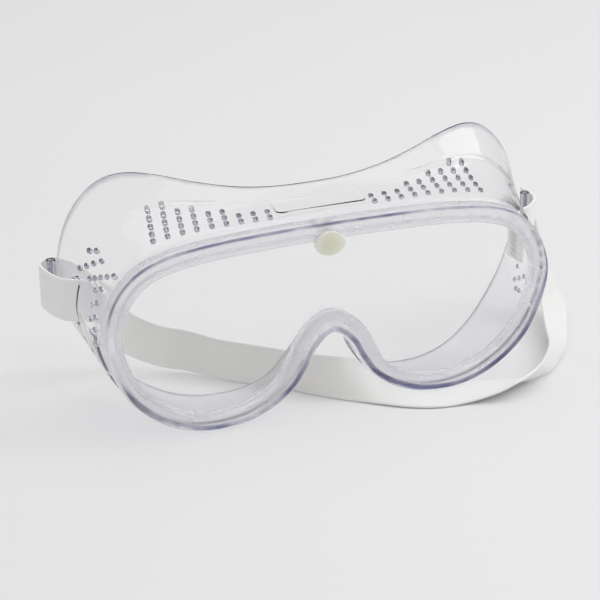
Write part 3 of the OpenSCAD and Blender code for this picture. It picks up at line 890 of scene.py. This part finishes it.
def open_spline(keys, s):
    """The same curve as spline's, from the first key to the last without closing."""
    last = len(keys) - 1
    k = np.clip(np.floor(s).astype(int), 0, last - 1)
    t = (s - k)[:, None]
    return catmull_rom(keys[np.maximum(k - 1, 0)], keys[k], keys[k + 1],
                       keys[np.minimum(k + 2, last)], t)


def build_band():
    """A woven strip with thickened edges; UV runs in millimetres along and across."""
    per_key = 14
    e0, e1 = band_edges()
    s = np.linspace(0, len(e0) - 1, (len(e0) - 1) * per_key + 1)
    a, b = open_spline(e0, s), open_spline(e1, s)
    mid = (a + b) / 2
    t = np.gradient(mid, axis=0)
    n = np.cross(t, b - a)
    n /= np.linalg.norm(n, axis=1)[:, None]
    run = np.concatenate([[0], np.cumsum(np.linalg.norm(np.diff(mid, axis=0), axis=1))])
    # section: across (0..1), part of half the thickness; a fuller, rounded selvedge each side
    half, thin, selvedge, flats = BAND_T / 2, 0.82, 0.075, 12
    cols = [(0.0, 0.2), (0.006, 0.75), (0.02, 1.0), (0.05, 1.0), (selvedge, thin)]
    cols += [(selvedge + (1 - 2 * selvedge) * k / flats, thin) for k in range(1, flats)]
    cols += [(1 - c, h) for c, h in cols[4::-1]]
    top = [a + (b - a) * c + n * half * h for c, h in cols]
    bottom = [a + (b - a) * c - n * half * h for c, h in cols[::-1]]
    pts = np.stack(top + bottom, 1)
    rows, m = pts.shape[:2]
    side = [c * BAND_W for c, h in cols] + [c * BAND_W for c, h in cols[::-1]]
    faces, uvs = [], []
    for i in range(rows - 1):
        for k in range(m):
            q = (k + 1) % m
            faces.append((i * m + k, i * m + q, (i + 1) * m + q, (i + 1) * m + k))
            u0, u1 = run[i], run[i + 1]
            v0, v1 = side[k], side[q]
            uvs += [(u0, v0), (u0, v1), (u1, v1), (u1, v0)]
    for end, order in ((0, 1), (rows - 1, -1)):
        ring = [end * m + k for k in range(m)][::order]
        faces.append(tuple(ring))
        uvs += [(run[end], v) for v in side][::order]
    o = mesh_object("headband_elastic", placed(pts.reshape(-1, 3), lean=False), faces, ELASTIC, 60)
    layer = o.data.uv_layers.new(name="UVMap")
    layer.data.foreach_set("uv", np.array(uvs, np.float32).ravel())
    outward(o, recalculate=False)
    return o, run[-1]


band, band_length = build_band()
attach(band, "goggles")
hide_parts("headband")


# ---------------------------------------------------------------- zigzag tacks
STITCHES, TACK_L, TACK_Y = 14, 13.0, (12.4, 16.4)
THREAD_R, THREAD_GAP, THREAD_BOW = 0.21, 0.325, 0.10


def build_tack(name, side):
    """A zigzag of thread on the hem's inner face, each stitch bowed towards the wearer's head."""
    x = side * (HEM[0][0] - BAND_T / 2 - THREAD_GAP)
    z0 = EAR_Z + (sag(sum(TACK_Y) / 2) if side > 0 else 0)
    path = []
    for i in range(STITCHES):
        for k in range(8):
            t = i + k / 8
            zigzag = abs(t % 2 - 1)
            path.append((x - side * THREAD_BOW * math.sin(math.pi * k / 8),
                         TACK_Y[1] + (TACK_Y[0] - TACK_Y[1]) * zigzag,
                         z0 + (t / STITCHES - 0.5) * TACK_L))
    path = placed(path)
    curve = bpy.data.curves.new(name, "CURVE")
    curve.dimensions = "3D"
    sp = curve.splines.new("POLY")
    sp.points.add(len(path) - 1)
    for p, c in zip(sp.points, path):
        p.co = (*c, 1)
    curve.bevel_depth = THREAD_R * MM
    curve.bevel_resolution = 3
    curve.use_fill_caps = True
    tmp = bpy.data.objects.new(name + "_c", curve)
    scene.collection.objects.link(tmp)
    bpy.context.view_layer.update()
    me = bpy.data.meshes.new_from_object(
        tmp.evaluated_get(bpy.context.evaluated_depsgraph_get()))
    bpy.data.objects.remove(tmp)
    me.materials.clear()
    me.materials.append(THREAD)
    o = bpy.data.objects.new(name, me)
    scene.collection.objects.link(o)
    soften(o, 60)
    return o


for side, name in ((-1, "left"), (1, "right")):
    o = build_tack(name + "_tack", side)
    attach(o, "goggles")
    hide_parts(name + "_stitching")


# ---------------------------------------------------------------- floor, lights, world
def build_floor():
    """A matt white floor, just under the part's lowest point."""
    half, drop = 4.0, 0.0002
    m = material("floor")
    n = Nodes(m)
    co = n.object_coords()
    p = n.add("ShaderNodeBsdfPrincipled", Roughness=0.75,
              Base_Color=n.ramp(n.noise(co, 3, 2), [(0.3, (0.80, 0.80, 0.80)),
                                                    (0.7, (0.82, 0.82, 0.82))]))
    p.inputs["Specular IOR Level"].default_value = 0.2
    n.out(p)
    me = bpy.data.meshes.new("floor")
    me.from_pydata([(x * half, y * half, 0) for x, y in ((-1, -1), (1, -1), (1, 1), (-1, 1))],
                   [], [(0, 1, 2, 3)])
    me.materials.append(m)
    o = bpy.data.objects.new("floor", me)
    scene.collection.objects.link(o)
    o.location.z = -drop


LIGHT_AIM = Vector((0, 0, 0.03))


def area(name, at, size, power, shine):
    """A lamp at a place measured from the goggles' middle; shine is whether it shows in them."""
    d = bpy.data.lights.new(name, "AREA")
    d.shape, d.size, d.size_y, d.energy = "RECTANGLE", size[0], size[1], power
    o = bpy.data.objects.new(name, d)
    scene.collection.objects.link(o)
    o.location = Vector(at) + Vector(MIDDLE)
    o.rotation_euler = (LIGHT_AIM - Vector(at)).to_track_quat("-Z", "Y").to_euler()
    o.visible_glossy = shine


def build_world():
    """A white room: bright overhead and behind, darker low on the camera's side."""
    w = bpy.data.worlds.new("studio")
    scene.world = w
    w.use_nodes = True
    t = w.node_tree
    t.nodes.clear()
    n = Nodes(w)
    co = n.add("ShaderNodeTexCoord").outputs["Generated"]
    xyz = n.add("ShaderNodeSeparateXYZ", Vector=co)
    dark = n.math("MULTIPLY", n.between(xyz.outputs["Z"], 0.10, 0.55, 1.0, 0.0),
                  n.between(xyz.outputs["Y"], 0.15, -0.45))
    bg = n.add("ShaderNodeBackground", Color=(0.985, 0.985, 0.99, 1))
    n.t.links.new(n.span(dark, 0.637, 0.375), bg.inputs["Strength"])
    out = n.add("ShaderNodeOutputWorld")
    t.links.new(bg.outputs[0], out.inputs["Surface"])


build_floor()
build_world()
area("top", (0.1, 0.15, 1.1), (1.3, 1.0), 3.6, False)
area("side", (0.85, -0.2, 0.8), (0.6, 0.6), 3.0, False)
area("strip", (0.15, -0.9, 1.1), (0.6, 0.12), 1.0, True)
scene.view_settings.view_transform = "Standard"
